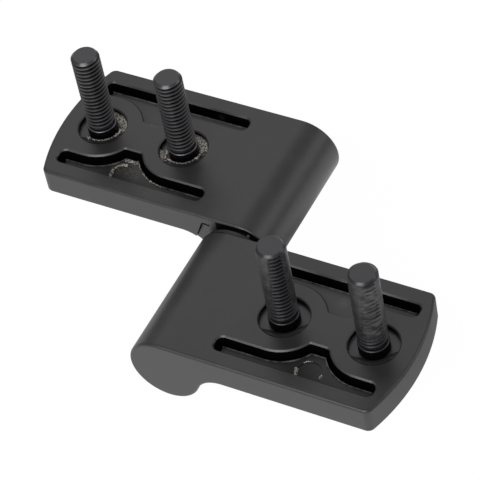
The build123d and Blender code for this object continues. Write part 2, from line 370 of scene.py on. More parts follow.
def draw_line(name, places, closed=False):
    """Draw edges from place to place by extruding one vertex."""
    deselect_all()
    bpy.ops.mesh.primitive_plane_add(size=MM)
    piece = new_piece(name)
    bpy.ops.object.mode_set(mode="EDIT")
    bpy.context.tool_settings.mesh_select_mode = (True, False, False)
    bpy.ops.mesh.select_all(action="SELECT")
    bpy.ops.mesh.merge(type="CENTER")
    bpy.ops.transform.translate(value=places[0])
    for here, there in zip(places, places[1:]):
        bpy.ops.mesh.extrude_vertices_move(TRANSFORM_OT_translate={"value": there - here})
    if closed:
        ends = (places[0], places[-1])
        pick(piece, lambda p, v: any((p - end).length < MERGE for end in ends))
        bpy.ops.mesh.edge_face_add()
    bpy.ops.object.mode_set(mode="OBJECT")
    return piece


def upright(points):
    """Points of a section in the XZ plane."""
    return [Vector((x, 0, z)) for x, z in points]


def close_up(piece):
    """Merge doubles, cap open ends and turn the faces outwards."""
    take(piece)
    bpy.ops.object.mode_set(mode="EDIT")
    bpy.ops.mesh.select_all(action="SELECT")
    bpy.ops.mesh.remove_doubles(threshold=MERGE)
    bpy.ops.mesh.select_all(action="DESELECT")
    bpy.context.tool_settings.mesh_select_mode = (False, True, False)
    bpy.ops.mesh.select_non_manifold()
    bpy.ops.mesh.fill_holes(sides=0)
    bpy.ops.mesh.select_all(action="SELECT")
    bpy.ops.mesh.normals_make_consistent(inside=False)
    bpy.ops.object.mode_set(mode="OBJECT")


def turn(piece, steps):
    """Spin an outline round the Z axis."""
    take(piece)
    bpy.ops.object.mode_set(mode="EDIT")
    bpy.ops.mesh.select_all(action="SELECT")
    bpy.ops.mesh.spin(steps=steps, angle=2 * math.pi, center=(0, 0, 0), axis=(0, 0, 1))
    close_up(piece)
    return piece


def crumble(piece, name, size, height):
    """Push the surface in and out with cloud noise."""
    clouds = bpy.data.textures.new(name, "CLOUDS")
    clouds.noise_scale = size
    apply_modifier(piece, "DISPLACE", texture=clouds, strength=height, mid_level=0.5)


def weigh(piece, name, weight):
    """Vertex group whose weight is worked out from each vertex's place."""
    group = piece.vertex_groups.new(name=name)
    for vertex in piece.data.vertices:
        group.add([vertex.index], max(0.0, min(1.0, weight(vertex.co))), "REPLACE")


def bead_along(name, places, radius):
    """Round bead along a line of places."""
    piece = draw_line(name, places)
    take(piece)
    bpy.ops.object.convert(target="CURVE")
    piece.data.bevel_depth = radius
    piece.data.bevel_resolution = 1
    piece.data.use_fill_caps = True
    bpy.ops.object.convert(target="MESH")
    return piece


def arc(centre, radius, start, end, step=6):
    """Places on a level arc, with angles in degrees."""
    count = max(2, math.ceil(abs(end - start) / step))
    turns = [math.radians(start + (end - start) * i / count) for i in range(count + 1)]
    return [centre + radius * Vector((math.cos(t), math.sin(t), 0)) for t in turns]


def between(first, last, step):
    """Places on a straight line."""
    count = max(1, math.ceil((last - first).length / step))
    return [first.lerp(last, i / count) for i in range(count + 1)]


def off_angle(place, centre, heading):
    """How far a place's heading from the centre is from another heading, without sign."""
    turn_by = math.atan2(place.y - centre.y, place.x - centre.x) - heading
    return abs(math.remainder(turn_by, 2 * math.pi))


def foot_of(stud_name):
    """Middle of a stud, level with the mounting face."""
    low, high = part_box(stud_name)
    return Vector(((low.x + high.x) / 2, (low.y + high.y) / 2, 0))


def top_of(stud_name):
    """Height of a stud's tip."""
    low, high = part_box(stud_name)
    return high.z


# Materials


def new_material(name, tone, roughness, metallic=0.0):
    """A Principled material with its node tree and shader."""
    material = bpy.data.materials.new(name)
    material.use_nodes = True
    shader = material.node_tree.nodes["Principled BSDF"]
    shader.inputs["Base Color"].default_value = (*tone, 1)
    shader.inputs["Roughness"].default_value = roughness
    shader.inputs["Metallic"].default_value = metallic
    return material, material.node_tree, shader


def set_inputs(made, values):
    for key, value in values.items():
        made.inputs[key.replace("_", " ")].default_value = value


def node(tree, kind, **inputs):
    made = tree.nodes.new(kind)
    set_inputs(made, inputs)
    return made


def group_node(tree, name, build, **inputs):
    """Place a node group, which is built the first time it is asked for."""
    made = tree.nodes.new("ShaderNodeGroup")
    made.node_tree = bpy.data.node_groups.get(name) or build(name)
    set_inputs(made, inputs)
    return made


def new_group(name, inputs, outputs):
    """An empty node group, with its entry and exit. Sockets are given by label and kind."""
    group = bpy.data.node_groups.new(name, "ShaderNodeTree")
    for way, sockets in (("INPUT", inputs), ("OUTPUT", outputs)):
        for label, kind in sockets.items():
            group.interface.new_socket(label, in_out=way, socket_type="NodeSocket" + kind)
    return group, group.nodes.new("NodeGroupInput"), group.nodes.new("NodeGroupOutput")


def reckon(tree, kind, operation, values):
    """Outputs of a math node on sockets and plain values."""
    made = tree.nodes.new(kind)
    made.operation = operation
    for socket, value in zip(made.inputs, values):
        if isinstance(value, bpy.types.NodeSocket):
            tree.links.new(value, socket)
        else:
            socket.default_value = value
    return made.outputs


def calculate(tree, operation, *values):
    return reckon(tree, "ShaderNodeMath", operation, values)["Value"]


def calculate_vector(tree, operation, *values, give="Vector"):
    return reckon(tree, "ShaderNodeVectorMath", operation, values)[give]


def step_between(tree, value, none, full, most=1.0):
    """0 at none, most at full, whichever of the two is larger."""
    span = node(tree, "ShaderNodeMapRange", From_Min=none, From_Max=full, To_Max=most)
    tree.links.new(value, span.inputs["Value"])
    return span.outputs["Result"]


def coordinate(tree, kind="Object"):
    return tree.nodes.new("ShaderNodeTexCoord").outputs[kind]


def apart(tree, vector):
    """The X, Y and Z sockets of a vector."""
    parts = tree.nodes.new("ShaderNodeSeparateXYZ")
    tree.links.new(vector, parts.inputs[0])
    return [parts.outputs[axis] for axis in "XYZ"]


def grain_group(name):
    """Fine grain and broad mottling, both from Object coordinates."""
    group, entry, leave = new_group(
        name, {"Grain Scale": "Float", "Mottle Scale": "Float"}, {"Height": "Float", "Mottle": "Float"}
    )
    place = coordinate(group)
    fine = node(group, "ShaderNodeTexNoise", Detail=3.0, Roughness=0.55)
    broad = node(group, "ShaderNodeTexNoise", Detail=4.0, Roughness=0.6)
    for texture, scale, result in ((fine, "Grain Scale", "Height"), (broad, "Mottle Scale", "Mottle")):
        group.links.new(place, texture.inputs["Vector"])
        group.links.new(entry.outputs[scale], texture.inputs["Scale"])
        group.links.new(texture.outputs["Fac"], leave.inputs[result])
    return group


def add_grain(tree, shader, grain, mottle, bump, tones, rough, ramp=MOTTLE_RAMP):
    """Grain to the normal, mottling to the colour and the roughness."""
    surface = group_node(tree, "Surface Grain", grain_group, Grain_Scale=grain, Mottle_Scale=mottle)
    ridge = node(tree, "ShaderNodeBump", Strength=bump, Distance=BUMP_DISTANCE)
    tree.links.new(surface.outputs["Height"], ridge.inputs["Height"])
    tree.links.new(ridge.outputs["Normal"], shader.inputs["Normal"])
    blend = tree.nodes.new("ShaderNodeValToRGB")
    for stop, position, tone in zip(blend.color_ramp.elements, ramp, tones):
        stop.position = position
        stop.color = (*tone, 1)
    tree.links.new(surface.outputs["Mottle"], blend.inputs["Fac"])
    tree.links.new(blend.outputs["Color"], shader.inputs["Base Color"])
    span = node(tree, "ShaderNodeMapRange", To_Min=rough[0], To_Max=rough[1])
    tree.links.new(surface.outputs["Mottle"], span.inputs["Value"])
    tree.links.new(span.outputs["Result"], shader.inputs["Roughness"])


def patch_group(name):
    """Mask of a speckled patch round a place, in Object coordinates."""
    group, entry, leave = new_group(name, {"Place": "Vector", "Radius": "Float"}, {"Mask": "Float"})
    place = coordinate(group)
    away = calculate_vector(group, "DISTANCE", place, entry.outputs["Place"], give="Value")
    falloff = node(group, "ShaderNodeMapRange", To_Min=1.0, To_Max=0.0)
    group.links.new(away, falloff.inputs["Value"])
    group.links.new(entry.outputs["Radius"], falloff.inputs["From Max"])
    specks = node(group, "ShaderNodeTexNoise", Scale=4200.0, Detail=4.0, Roughness=0.7)
    group.links.new(place, specks.inputs["Vector"])
    crisp = step_between(group, specks.outputs["Fac"], none=0.48, full=0.7)
    mask = calculate(group, "MULTIPLY", falloff.outputs["Result"], crisp)
    group.links.new(mask, leave.inputs["Mask"])
    return group


def paint(tree, shader, mask, tone):
    """Where the mask is 1, give the shader another colour."""
    mix = tree.nodes.new("ShaderNodeMix")
    mix.data_type = "RGBA"
    mix.inputs["B"].default_value = (*tone, 1)
    tree.links.new(mask, mix.inputs["Factor"])
    tree.links.new(shader.inputs["Base Color"].links[0].from_socket, mix.inputs["A"])
    tree.links.new(mix.outputs["Result"], shader.inputs["Base Color"])


def add_patches(tree, shader, tone):
    """The dusty and rubbed patches, over the shader's colour."""
    for place, radius in DUST_PATCHES:
        patch = group_node(tree, "Speckled Patch", patch_group, Place=place, Radius=radius)
        paint(tree, shader, patch.outputs["Mask"], tone)


def box_group(name):
    """Mask of a box, in Object coordinates."""
    group, entry, leave = new_group(name, {"Middle": "Vector", "Half Size": "Vector"}, {"Mask": "Float"})
    place = calculate_vector(group, "SUBTRACT", coordinate(group), entry.outputs["Middle"])
    place = calculate_vector(group, "ABSOLUTE", place)
    place = calculate_vector(group, "DIVIDE", place, entry.outputs["Half Size"])
    x, y, z = apart(group, place)
    furthest = calculate(group, "MAXIMUM", calculate(group, "MAXIMUM", x, y), z)
    group.links.new(step_between(group, furthest, 1.0, BOX_EDGE), leave.inputs["Mask"])
    return group


def box_mask(tree, middle, half):
    return group_node(tree, "Box Mask", box_group, Middle=middle, Half_Size=half).outputs["Mask"]


def both_leaves(tree, middle, half):
    """Mask of the same box in both leaves."""
    boxes = []
    for leaf, side in zip(LEAF_MIDDLES, (1, -1)):
        boxes.append(box_mask(tree, leaf + middle + Vector((side * RECESS_SHIFT, 0, 0)), half))
    return calculate(tree, "MAXIMUM", *boxes)


def shank_group(name):
    """Distance from the nearest stud's axis, in Object coordinates."""
    group, _, leave = new_group(name, {}, {"Radius": "Float"})
    x, y, _ = apart(group, coordinate(group))
    radii = []
    for middle in LEAF_MIDDLES:
        from_middle = calculate(group, "ABSOLUTE", calculate(group, "SUBTRACT", x, middle.x))
        along = calculate(group, "SUBTRACT", from_middle, STUD_OFFSET)
        across = calculate(group, "SUBTRACT", y, middle.y)
        squares = [calculate(group, "MULTIPLY", side, side) for side in (along, across)]
        radii.append(calculate(group, "SQRT", calculate(group, "ADD", *squares)))
    group.links.new(calculate(group, "MINIMUM", *radii), leave.inputs["Radius"])
    return group


def set_gloss(tree, shader, bright, dark, usual, most, least):
    """Gloss level: most where bright is 1, least where dark is 1."""
    level = step_between(tree, bright, 0.0, 1.0, most - usual)
    level = calculate(tree, "ADD", level, usual)
    kept = calculate(tree, "SUBTRACT", 1.0, calculate(tree, "MULTIPLY", dark, 1 - least / usual))
    tree.links.new(calculate(tree, "MULTIPLY", level, kept), shader.inputs["Specular IOR Level"])


def shade_hollows(tree, shader, settings):
    """Paint shade onto the recesses' walls, their grooves, the front of their floors and the parting gap,
    and paint a highlight onto the chamfers.
    """
    height = apart(tree, coordinate(tree))[2]
    level = calculate(tree, "ABSOLUTE", apart(tree, coordinate(tree, "Normal"))[2])
    steep = step_between(tree, level, *WALL_LEVEL)
    groove = step_between(tree, height, *(-RECESS_DEPTH - below for below in GROOVE_SHADE))
    hollow, floor = (both_leaves(tree, *box) for box in (RECESS_BOX, FRONT_FLOOR_BOX))
    # Painted shade on the recesses' walls and grooves, the parting gap and the front of the floors
    dark = calculate(tree, "MULTIPLY", hollow, calculate(tree, "MAXIMUM", steep, groove))
    for box in PARTING_BOXES:
        dark = calculate(tree, "MAXIMUM", dark, box_mask(tree, *box))
    # Painted highlight on the chamfers, where no painted shade falls
    slanting = calculate(tree, "MULTIPLY", hollow, step_between(tree, level, *CHAMFER_LEVEL))
    edge = calculate(tree, "MULTIPLY", slanting, calculate(tree, "SUBTRACT", 1.0, dark))
    dark = calculate(tree, "MAXIMUM", dark, calculate(tree, "MULTIPLY", floor, FRONT_FLOOR_SHADE))
    paint(tree, shader, dark, settings.shaded)
    paint(tree, shader, edge, settings.edge)
    set_gloss(tree, shader, edge, dark, settings.gloss, settings.edge_gloss, settings.shaded_gloss)


def plain_coat(settings, name="Plain coat"):
    """The coat on its own, with its fine grain."""
    material, tree, shader = new_material(name, settings.coat, roughness=0.5)
    shader.inputs["IOR"].default_value = settings.coat_ior
    tones = (settings.coat, settings.coat_worn)
    add_grain(tree, shader, 1 / settings.grain, mottle=140.0, bump=0.35, tones=tones, rough=(0.32, 0.46))
    return material


def powder_coat(settings):
    """The leaves' coat, with painted shade in their hollows, painted highlights on the recesses'
    chamfers, and dust in places.
    """
    material = plain_coat(settings, "Powder coat")
    tree = material.node_tree
    shader = tree.nodes["Principled BSDF"]
    shade_hollows(tree, shader, settings)
    add_patches(tree, shader, settings.dust)
    return material


def bead_coat(settings):
    """The thick coat on the grooves' edges, in a lighter tone that paints a highlight there."""
    material, tree, shader = new_material("Bead coat", settings.bead_tone, roughness=0.4)
    shader.inputs["IOR"].default_value = settings.coat_ior
    # The lighter tone paints a highlight along the grooves' edges
    tones = (settings.coat, settings.bead_tone)
    add_grain(tree, shader, 1 / settings.grain, mottle=900.0, bump=0.35, tones=tones, rough=(0.3, 0.5))
    return material


def toned(tone, share):
    """A colour made darker or lighter."""
    return tuple(share * part for part in tone)


def black_oxide(settings, thread, crest_gloss):
    """Blackened steel, with painted shade in the thread's groove and below the collar."""
    material, tree, shader = new_material("Black oxide", settings.oxide, roughness=0.36)
    shader.inputs["IOR"].default_value = settings.oxide_ior
    tones = (toned(settings.oxide, 0.5), settings.oxide)
    add_grain(tree, shader, grain=6000.0, mottle=420.0, bump=0.15, tones=tones, rough=(0.26, 0.38))
    radius = group_node(tree, "Shank Radius", shank_group).outputs["Radius"]
    height = apart(tree, coordinate(tree))[2]
    crest = thread.diameter / 2
    inside = step_between(tree, radius, crest - CREST_SHADE, crest - thread.depth * FULL_SHADE)
    below_tip = step_between(tree, height, *TIP_SHADE)
    below_collar = step_between(tree, height, *(thread.collar_top - below for below in COLLAR_SHADE))
    # Painted shade in the thread's groove and below the collar
    dark = calculate(tree, "MAXIMUM", calculate(tree, "MULTIPLY", inside, below_tip), below_collar)
    paint(tree, shader, dark, settings.shaded)
    outside = step_between(tree, radius, crest - thread.tip, crest)
    set_gloss(tree, shader, outside, dark, settings.oxide_gloss, crest_gloss, settings.shaded_gloss)
    return material


def speckled_zinc(settings):
    """Bare, grainy casting flash with flecks of coat left on it."""
    material, tree, shader = new_material("Bare zinc", settings.zinc, roughness=0.55, metallic=0.35)
    tones = (settings.coat, settings.zinc)
    add_grain(
        tree, shader, grain=9000.0, mottle=3400.0, bump=0.6, tones=tones, rough=(0.45, 0.65),
        ramp=FLECK_RAMP,
    )
    return material


def coating_film(settings):
    """The smooth coating that half fills a thread."""
    material, tree, shader = new_material("Coating film", settings.film, roughness=0.4)
    shader.inputs["IOR"].default_value = settings.coat_ior
    tones = (toned(settings.film, 0.4), toned(settings.film, 1.7))
    add_grain(tree, shader, grain=2400.0, mottle=520.0, bump=0.3, tones=tones, rough=(0.5, 0.3))
    return material


def steel(name, tone, rough):
    """Bare steel, brushed or ground."""
    material, tree, shader = new_material(name, tone, roughness=rough[0], metallic=1.0)
    tones = (toned(tone, 0.75), tone)
    add_grain(tree, shader, grain=5200.0, mottle=300.0, bump=0.1, tones=tones, rough=rough)
    return material


def bush_plastic(settings):
    """Black plastic of the bearing."""
    material, tree, shader = new_material("Bush plastic", settings.plastic, roughness=0.5)
    tones = (settings.plastic, toned(settings.plastic, 1.6))
    add_grain(tree, shader, grain=3000.0, mottle=260.0, bump=0.1, tones=tones, rough=(0.45, 0.6))
    return material


def dress(piece, material, body=None, stands_for=None):
    """Give a piece its finish and say what it rides on and stands for."""
    piece.data.materials.clear()
    piece.data.materials.append(material)
    if body:
        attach(piece, body)
    if stands_for:
        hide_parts(stands_for)


# Studs


def merged_copy(node_name, name):
    """A copy of a CAD node with its loose triangles merged."""
    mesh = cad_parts[node_name].data.copy()
    piece = bpy.data.objects.new(name, mesh)
    mesh.name = name
    bpy.context.scene.collection.objects.link(piece)
    take(piece)
    bpy.ops.mesh.customdata_custom_splitnormals_clear()
    bpy.ops.object.mode_set(mode="EDIT")
    bpy.ops.mesh.select_all(action="SELECT")
    bpy.ops.mesh.remove_doubles(threshold=MERGE)
    bpy.ops.object.mode_set(mode="OBJECT")
    return piece


def groove_cutter(sizes, radius, top):
    """Helical bar with the section of the thread groove, on the Z axis."""
    proud = 0.04 * MM       # the cutter stands out of the shank by this
    mouth = (sizes.pitch - sizes.crest) / 2
    slope = (mouth - sizes.root / 2) / sizes.depth
    lip = mouth + slope * proud
    start = sizes.thread_start + lip / 2
    bottom = radius - sizes.depth
    section = upright([
        (radius + proud, start - lip),
        (bottom, start - sizes.root / 2),
        (bottom, start + sizes.root / 2),
        (radius + proud, start + lip),
    ])
    cutter = draw_line("groove_cutter", section, closed=True)
    turns = math.ceil((top - start) / sizes.pitch) + 1
    apply_modifier(
        cutter, "SCREW", axis="Z", angle=2 * math.pi, screw_offset=sizes.pitch, iterations=turns,
        steps=sizes.steps, render_steps=sizes.steps, use_merge_vertices=True, merge_threshold=MERGE,
    )
    close_up(cutter)
    return cutter


def copy_to(piece, name, place):
    """A copy with its own mesh, moved in the mesh."""
    twin = piece.copy()
    twin.data = piece.data.copy()
    twin.name = name
    twin.data.name = name
    bpy.context.scene.collection.objects.link(twin)
    twin.location = place
    return settle(twin)


def turned_shank(sizes, top):
    """Shank, neck and collar of a stud, turned on the Z axis."""
    radius = sizes.diameter / 2
    collar = sizes.collar / 2
    soft = sizes.collar_rounding
    core = 0.05 * MM                    # keeps the spun ends off the axis
    foot = -ROOT_TOP - 0.4 * MM         # inside the cast root
    steps = 6
    turns = [math.radians(90 * i / steps) for i in range(steps + 1)]
    rounding = ((soft * math.cos(t) - soft, soft * math.sin(t) - soft) for t in turns)
    outline = [
        (core, foot),
        (collar, foot),
        *((collar + out, sizes.collar_top + up) for out, up in rounding),
        (sizes.neck / 2, sizes.collar_top),
        (sizes.neck / 2, sizes.thread_start),
        (radius, sizes.thread_start),
        (radius, top - sizes.tip),
        (radius - sizes.tip, top),
        (core, top),
    ]
    return turn(draw_line("shank", upright(outline)), sizes.steps * 2)


def cut_away(piece, tool, operation="DIFFERENCE"):
    """Boolean with a tool that is then removed."""
    apply_modifier(piece, "BOOLEAN", object=tool, operation=operation, solver="EXACT")
    bpy.data.objects.remove(tool)


def cast_root(name, place):
    """The serrated root of a CAD stud, without what stands above it."""
    root = merged_copy(name, name.replace("stud", "threaded_stud"))
    radius, tall = 8 * MM, 40 * MM      # clears the whole stud
    middle = place + Vector((0, 0, tall / 2 - ROOT_TOP))
    deselect_all()
    bpy.ops.mesh.primitive_cylinder_add(radius=radius, depth=tall, location=middle)
    cut_away(root, settle(new_piece("block")))
    return root


def cut_threads(nodes, body, material, sizes):
    """Turn each stud's shank on its CAD root and cut its thread with a helical cutter."""
    top = top_of(nodes[0])
    shank = turned_shank(sizes, top)
    cut_away(shank, groove_cutter(sizes, sizes.diameter / 2, top))
    for name in nodes:
        place = foot_of(name)
        stud = cast_root(name, place)
        cut_away(stud, copy_to(shank, "shank_copy", place), "UNION")
        smooth(stud, degrees=40)
        dress(stud, material, body, name)
    bpy.data.objects.remove(shank)


def film_sleeve(stud_name, film, bare):
    """Lumpy film round one stud. bare gives 1 where the thread shows, 0 where it is covered."""
    middle = foot_of(stud_name)
    foot = bpy.context.scene.hinge.thread.thread_start - film.foot_overlap
    top = top_of(stud_name) - film.tip_margin
    span = top - foot
    side = [(film.radius, foot + span * i / film.rows) for i in range(film.rows + 1)]
    outline = upright([(film.core, foot), *side, (film.core, top)])
    sleeve = draw_line(stud_name.replace("stud", "film"), outline)
    turn(sleeve, film.steps)
    sleeve.location = middle
    settle(sleeve)
    weigh(sleeve, "bare", lambda p: bare(p, middle, (p.z - foot) / span))
    crumble(sleeve, "film_lumps", film.lump, film.lump_height)
    apply_modifier(sleeve, "DISPLACE", strength=-film.bare_depth, mid_level=0.0, vertex_group="bare")
    smooth(sleeve)
    return sleeve


def fade(value, full, none):
    """1 up to full, 0 from none on."""
    return (none - value) / (none - full)


def bare_strip(film, foot_share, cover):
    """A strip of thread that faces the front and widens towards the stud's foot."""
    inside, outside = 1 - film.fringe, 1 + film.fringe

    def bare(place, centre, share):
        heading = film.strip_foot + (film.strip_top - film.strip_foot) * share
        half = film.half_foot + (film.half_top - film.half_foot) * share
        strip = fade(off_angle(place, centre, heading), half * inside, half * outside)
        blotch = 0.5 + 0.5 * noise.noise(place / film.blotch)
        shown = film.blotch_depth * fade(blotch, cover, cover - film.blotch_fade) if cover else 1.0
        foot = (1 - cover) * fade(share, foot_share * inside, foot_share * outside)
        return max(min(strip, shown), foot)

    return bare


class HINGE_OT_films(bpy.types.Operator):
    """Add the lumpy coating film to the door leaf's studs"""

    bl_idname = "hinge.films"
    bl_label = "Coating film"

    def execute(self, context):
        hinge = context.scene.hinge
        film = hinge.film
        material = coating_film(hinge.coat)
        share = film.foot_height / top_of(DOOR_STUDS[0])
        for name, cover in zip(DOOR_STUDS, (0, film.cover)):
            sleeve = film_sleeve(name, film, bare_strip(film, share, cover))
            dress(sleeve, material, "door_side")
        return {"FINISHED"}


class HINGE_OT_frame_studs(bpy.types.Operator):
    """Cut the threads of the frame leaf's two studs"""

    bl_idname = "hinge.frame_studs"
    bl_label = "Frame studs"

    def execute(self, context):
        hinge = context.scene.hinge
        finish = black_oxide(hinge.coat, hinge.thread, hinge.coat.frame_crests)
        cut_threads(FRAME_STUDS, "frame_side", finish, hinge.thread)
        return {"FINISHED"}


class HINGE_OT_door_studs(bpy.types.Operator):
    """Cut the threads of the door leaf's two studs"""

    bl_idname = "hinge.door_studs"
    bl_label = "Door studs"

    def execute(self, context):
        hinge = context.scene.hinge
        finish = black_oxide(hinge.coat, hinge.thread, hinge.coat.door_crests)
        cut_threads(DOOR_STUDS, "door_side", finish, hinge.thread)
        return {"FINISHED"}


def part_ring(name, centre, outline, arcs):
    """Ring of a section given by radius and height, kept in arcs given by middle and half width."""
    ring = draw_line(name, upright(outline), closed=True)
    turn(ring, RING_STEPS)
    ring.location = centre
    settle(ring)
    kept = [(math.radians(middle), math.radians(half)) for middle, half in arcs]
    bpy.ops.object.mode_set(mode="EDIT")
    pick(ring, lambda p, f: all(off_angle(p, centre, middle) > half for middle, half in kept), "faces")
    bpy.ops.mesh.delete(type="FACE")
    bpy.ops.object.mode_set(mode="OBJECT")
    close_up(ring)
    return ring


def flash_ring(name, centre, flash, arcs):
    """Grainy flash on a well's floor."""
    sunk = -WELL_DEPTH - EMBED
    inside, midway, outside = (share * flash.ring_height - WELL_DEPTH for share in RING_RISE)
    ring = part_ring(name, centre, [
        (flash.ring_inner, sunk),
        (flash.ring_inner, inside),
        ((flash.ring_inner + flash.ring_outer) / 2, midway),
        (flash.ring_outer, outside),
        (flash.ring_outer, sunk),
    ], arcs)
    apply_modifier(ring, "SUBSURF", subdivision_type="SIMPLE", levels=2)
    crumble(ring, name + "_crumbs", flash.ragged, flash.ragged_height)
    smooth(ring)
    return ring


def well_slope(name, centre, flash):
    """The front of a well, where the cast face slopes down to the stud instead of dropping."""
    sunk = -WELL_DEPTH - EMBED
    slope = part_ring(name, centre, [
        (flash.slope_inner, sunk),
        *((flash.slope_inner + out * MM, -down * MM) for out, down in SLOPE_STEPS),
        (flash.slope_outer, -SLOPE_EDGE),
        (flash.slope_outer, sunk),
    ], ((FRONT_HEADING, math.degrees(flash.slope_half)),))
    front = math.radians(FRONT_HEADING)
    half = flash.slope_half
    weigh(slope, "ends", lambda p: fade(half - off_angle(p, centre, front), 0, half / 2))
    apply_modifier(
        slope, "DISPLACE", direction="Z", strength=-WELL_DEPTH, mid_level=0.0, vertex_group="ends"
    )
    smooth(slope)
    return slope


def ragged_bead(name, places, flash, share=1.0):
    """Ragged line of flash, at a share of its usual size."""
    bead = bead_along(name, places, flash.bead * share)
    crumble(bead, name + "_crumbs", flash.ragged, flash.ragged_height * share)
    smooth(bead)
    return bead


def frame_flash_lines(outer, inner, flash):
    """Name, places and size of each line of flash on the frame leaf."""
    on_rim = Vector((0, 0, -RIM_DROP))
    rim_radius = flash.slope_inner + RIM_OUT
    floor = Vector((0, 0, -RECESS_DEPTH))
    hump = HUMP_LINE - HUMP_DROP
    reach = GROOVE_RADIUS * math.cos(math.asin(-hump / GROOVE_RADIUS))
    left = outer + floor + Vector((reach, hump, 0))
    right = inner + floor + Vector((-reach, hump, 0))
    inset = Vector((0, -HUMP_INSET, 0))
    corner = math.degrees(math.atan2(right.y - inner.y, right.x - inner.x))
    flank = arc(inner + floor, GROOVE_RADIUS, corner, -90, RIM_STEP)
    along = Vector((GROOVE_INNER_END, 0, 0))
    mark = floor - Vector((0, EJECTOR_OFFSET, 0))
    edge, foot = (
        arc(mark, EJECTOR_RADIUS + out, *ends, MARK_STEP) for out, ends in zip(EJECTOR_OUT, EJECTOR_ARCS)
    )
    return (
        ("rim_flash_outer", arc(outer + on_rim, rim_radius, *RIM_ARCS[0], RIM_STEP), 1.5),
        ("rim_flash_inner", arc(inner + on_rim, rim_radius, *RIM_ARCS[1], RIM_STEP), 1.5),
        ("recess_flash", between(left + inset, right + inset, 0.25 * MM), 2.0),
        ("flank_flash", flank, 0.9),
        ("ejector_flash", edge, 1.5),
        ("ejector_foot", foot, 2.0),
        ("groove_flash", between(flank[-1], flank[-1] + along, 0.3 * MM), 0.55),
    )


def frame_flash(flash):
    """Flash on the floors of the frame leaf's wells and along its recess."""
    outer, inner = (foot_of(name) for name in FRAME_STUDS)
    pieces = [
        flash_ring("well_flash_outer", outer, flash, WELL_ARCS[0]),
        flash_ring("well_flash_inner", inner, flash, WELL_ARCS[1]),
    ]
    for name, places, share in frame_flash_lines(outer, inner, flash):
        pieces.append(ragged_bead(name, places, flash, share))
    return pieces


# A bright steel bead in the parting gap, put there for its glint; its near-white colour paints the
# highlight
def parting_burr(flash):
    burr = bead_along("parting_burr", [Vector(place) * MM for place in PARTING_GLINT], flash.burr)
    crumble(burr, "burr_crumbs", flash.ragged, flash.burr)
    return burr


def door_flecks(flash):
    """Flecks round the ejector's mark on the door leaf."""
    middle = (foot_of(DOOR_STUDS[0]) + foot_of(DOOR_STUDS[1])) / 2
    mark = middle - Vector((0, EJECTOR_OFFSET, RECESS_DEPTH))
    for number, (start, end, share) in enumerate(FLECK_ARCS, 1):
        places = arc(mark, EJECTOR_RADIUS + EJECTOR_OUT[1], start, end, MARK_STEP)
        yield ragged_bead(f"ejector_fleck_{number}", places, flash, share)


class HINGE_OT_flash(bpy.types.Operator):
    """Add the bare casting flash to the frame leaf and the flecks to the door leaf"""

    bl_idname = "hinge.flash"
    bl_label = "Casting flash"

    def execute(self, context):
        hinge = context.scene.hinge
        zinc = speckled_zinc(hinge.coat)
        for piece in frame_flash(hinge.flash):
            dress(piece, zinc, "frame_side")
        # Bright steel for the bead that paints the glint in the parting gap
        bright = steel("Burr", hinge.coat.burr, rough=(0.25, 0.4))
        dress(parting_burr(hinge.flash), bright, "frame_side")
        for piece in door_flecks(hinge.flash):
            dress(piece, zinc, "door_side")
        return {"FINISHED"}


def groove_edges(outer, inner):
    """Outer edge of the wavy groove and edge of the straight one, from the free end to the barrel."""
    ahead = 1 if inner.x > outer.x else -1
    floor = Vector((0, 0, -RECESS_DEPTH))
    front = Vector((0, -GROOVE_RADIUS, 0))
    corner = math.degrees(math.asin(HUMP_LINE / GROOVE_RADIUS))

    def swing(centre, start, end):
        turns = (start, end) if ahead == 1 else (180 - start, 180 - end)
        return arc(centre + floor, GROOVE_RADIUS, *turns)

    wavy = [outer + front + floor - Vector((ahead * GROOVE_OUTER_END, 0, 0))]
    wavy += swing(outer, -90, corner)
    wavy += swing(inner, 180 - corner, 270)
    wavy.append(inner + front + floor + Vector((ahead * GROOVE_INNER_END, 0, 0)))
    rear = Vector((0, REAR_LINE, 0)) + floor
    straight = [
        outer + rear - Vector((ahead * GROOVE_OUTER_END, 0, 0)),
        inner + rear + Vector((ahead * GROOVE_INNER_END, 0, 0)),
    ]
    return wavy, straight


class HINGE_OT_beads(bpy.types.Operator):
    """Add the bead of coating that gathers on the grooves' edges, with a painted highlight in its lighter
    tone
    """

    bl_idname = "hinge.beads"
    bl_label = "Coating on the grooves' edges"

    def execute(self, context):
        hinge = context.scene.hinge
        material = bead_coat(hinge.coat)
        for body, studs in (("frame_side", FRAME_STUDS), ("door_side", reversed(DOOR_STUDS))):
            outer, inner = (foot_of(name) for name in studs)
            for kind, places in zip(("wavy", "straight"), groove_edges(outer, inner)):
                bead = bead_along(f"{body}_{kind}_bead", places, hinge.coat.bead)
                smooth(bead)
                dress(bead, material, body)
        return {"FINISHED"}


class HINGE_OT_leaves(bpy.types.Operator):
    """Give both cast leaves their powder coat, with its painted shade and highlights"""

    bl_idname = "hinge.leaves"
    bl_label = "Coat the leaves"

    def execute(self, context):
        material = powder_coat(context.scene.hinge.coat)
        for name in ("frame_leaf", "door_leaf"):
            dress(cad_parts[name], material)
        return {"FINISHED"}


class HINGE_OT_slopes(bpy.types.Operator):
    """Add the sloping fronts of the four wells round the studs"""

    bl_idname = "hinge.slopes"
    bl_label = "Wells' fronts"

    def execute(self, context):
        hinge = context.scene.hinge
        material = plain_coat(hinge.coat)
        for body, studs in (("frame_side", FRAME_STUDS), ("door_side", DOOR_STUDS)):
            for name in studs:
                slope = well_slope(name.replace("stud", "well_front"), foot_of(name), hinge.flash)
                dress(slope, material, body)
        return {"FINISHED"}


